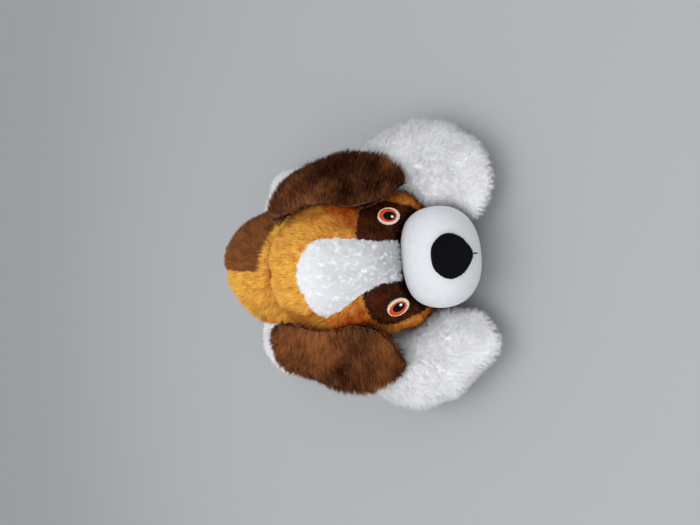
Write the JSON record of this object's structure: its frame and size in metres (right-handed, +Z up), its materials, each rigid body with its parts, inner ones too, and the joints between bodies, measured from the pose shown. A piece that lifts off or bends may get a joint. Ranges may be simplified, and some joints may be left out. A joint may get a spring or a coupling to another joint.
{
  "type": "plush dog",
  "caption": "Soft plush puppy lying on its belly, head between its front paws, with floppy hinged ears, swinging legs and a wagging tail.",
  "frame": {"origin": "centre of the footprint, on the surface that the dog lies on", "axes": "nose toward -Y, the dog's left side toward +X, +Z up"},
  "size_m": [0.2246, 0.3082, 0.121],
  "materials": {
    "golden_plush": "medium-pile golden orange plush",
    "brown_plush": "medium-pile dark brown plush with lighter tips",
    "white_plush": "fluffy white plush",
    "smooth_plush": "smooth short-pile white fabric",
    "black_thread": "black satin-stitch embroidery thread",
    "cream_thread": "cream embroidery thread",
    "orange_thread": "orange-red embroidery thread",
    "white_thread": "white embroidery thread",
    "stuffing": "white polyester stuffing"
  },
  "bodies": {
    "torso": {"torso_filling": "stuffing", "belly_panel": "golden_plush", "torso_brown_patch": "brown_plush", "torso_left_panel": "golden_plush", "torso_right_panel": "golden_plush"},
    "head": {"head_blaze_panel": "white_plush", "eye_patch_left": "brown_plush", "eye_patch_right": "brown_plush", "head_chin_panel": "golden_plush", "head_crown_left_panel": "golden_plush", "head_cheek_left_panel": "golden_plush", "head_crown_right_panel": "golden_plush", "head_cheek_right_panel": "golden_plush", "head_filling": "stuffing", "muzzle_cover": "smooth_plush", "muzzle_filling": "stuffing", "nose_embroidery": "black_thread", "mouth_stitch": "black_thread", "eye_left_outline": "cream_thread", "eye_left_iris": "orange_thread", "eye_left_pupil": "black_thread", "eye_left_glint": "white_thread", "eye_right_outline": "cream_thread", "eye_right_iris": "orange_thread", "eye_right_pupil": "black_thread", "eye_right_glint": "white_thread"},
    "ear_right": {"ear_right_outer_panel": "brown_plush", "ear_right_lining": "brown_plush"},
    "ear_left": {"ear_left_outer_panel": "brown_plush", "ear_left_lining": "brown_plush"},
    "front_leg_right": {"front_leg_right_filling": "stuffing", "front_leg_right_upper_panel": "white_plush", "front_leg_right_sole_panel": "white_plush"},
    "front_leg_left": {"front_leg_left_filling": "stuffing", "front_leg_left_upper_panel": "white_plush", "front_leg_left_sole_panel": "white_plush"},
    "hind_leg_right": {"hind_leg_right_filling": "stuffing", "hind_leg_right_upper_panel": "white_plush", "hind_leg_right_sole_panel": "white_plush"},
    "hind_leg_left": {"hind_leg_left_filling": "stuffing", "hind_leg_left_upper_panel": "white_plush", "hind_leg_left_sole_panel": "white_plush"},
    "tail": {"tail_filling": "stuffing", "tail_upper_panel": "golden_plush", "tail_lower_panel": "golden_plush"}
  },
  "joints": [
    {"name": "neck_nod", "type": "hinge", "parent": "torso", "child": "head", "pos_m": [-0.00052, -0.00791, 0.05], "axis": [-1, 0, 0], "range_deg": [0, 25]},
    {"name": "ear_right_flap", "type": "hinge", "parent": "head", "child": "ear_right", "pos_m": [-0.04052, -0.04391, 0.103], "axis": [0, 0.9751, 0.2216], "range_deg": [0, 75]},
    {"name": "ear_left_flap", "type": "hinge", "parent": "head", "child": "ear_left", "pos_m": [0.03548, -0.04091, 0.105], "axis": [0.2256, -0.9477, -0.2256], "range_deg": [0, 75]},
    {"name": "front_leg_right_spread", "type": "hinge", "parent": "torso", "child": "front_leg_right", "pos_m": [-0.05352, -0.00391, 0.026], "axis": [0, 0, -1], "range_deg": [0, 40]},
    {"name": "front_leg_left_spread", "type": "hinge", "parent": "torso", "child": "front_leg_left", "pos_m": [0.05848, -0.00391, 0.026], "axis": [0, 0, 1], "range_deg": [0, 40]},
    {"name": "hind_leg_right_spread", "type": "hinge", "parent": "torso", "child": "hind_leg_right", "pos_m": [-0.04352, 0.09609, 0.025], "axis": [0, 0, -1], "range_deg": [0, 30]},
    {"name": "hind_leg_left_spread", "type": "hinge", "parent": "torso", "child": "hind_leg_left", "pos_m": [0.04448, 0.09409, 0.025], "axis": [0, 0, 1], "range_deg": [0, 30]},
    {"name": "tail_wag", "type": "hinge", "parent": "torso", "child": "tail", "pos_m": [0.00248, 0.12409, 0.03], "axis": [0, 0, 1], "range_deg": [-35, 35]}
  ]
}
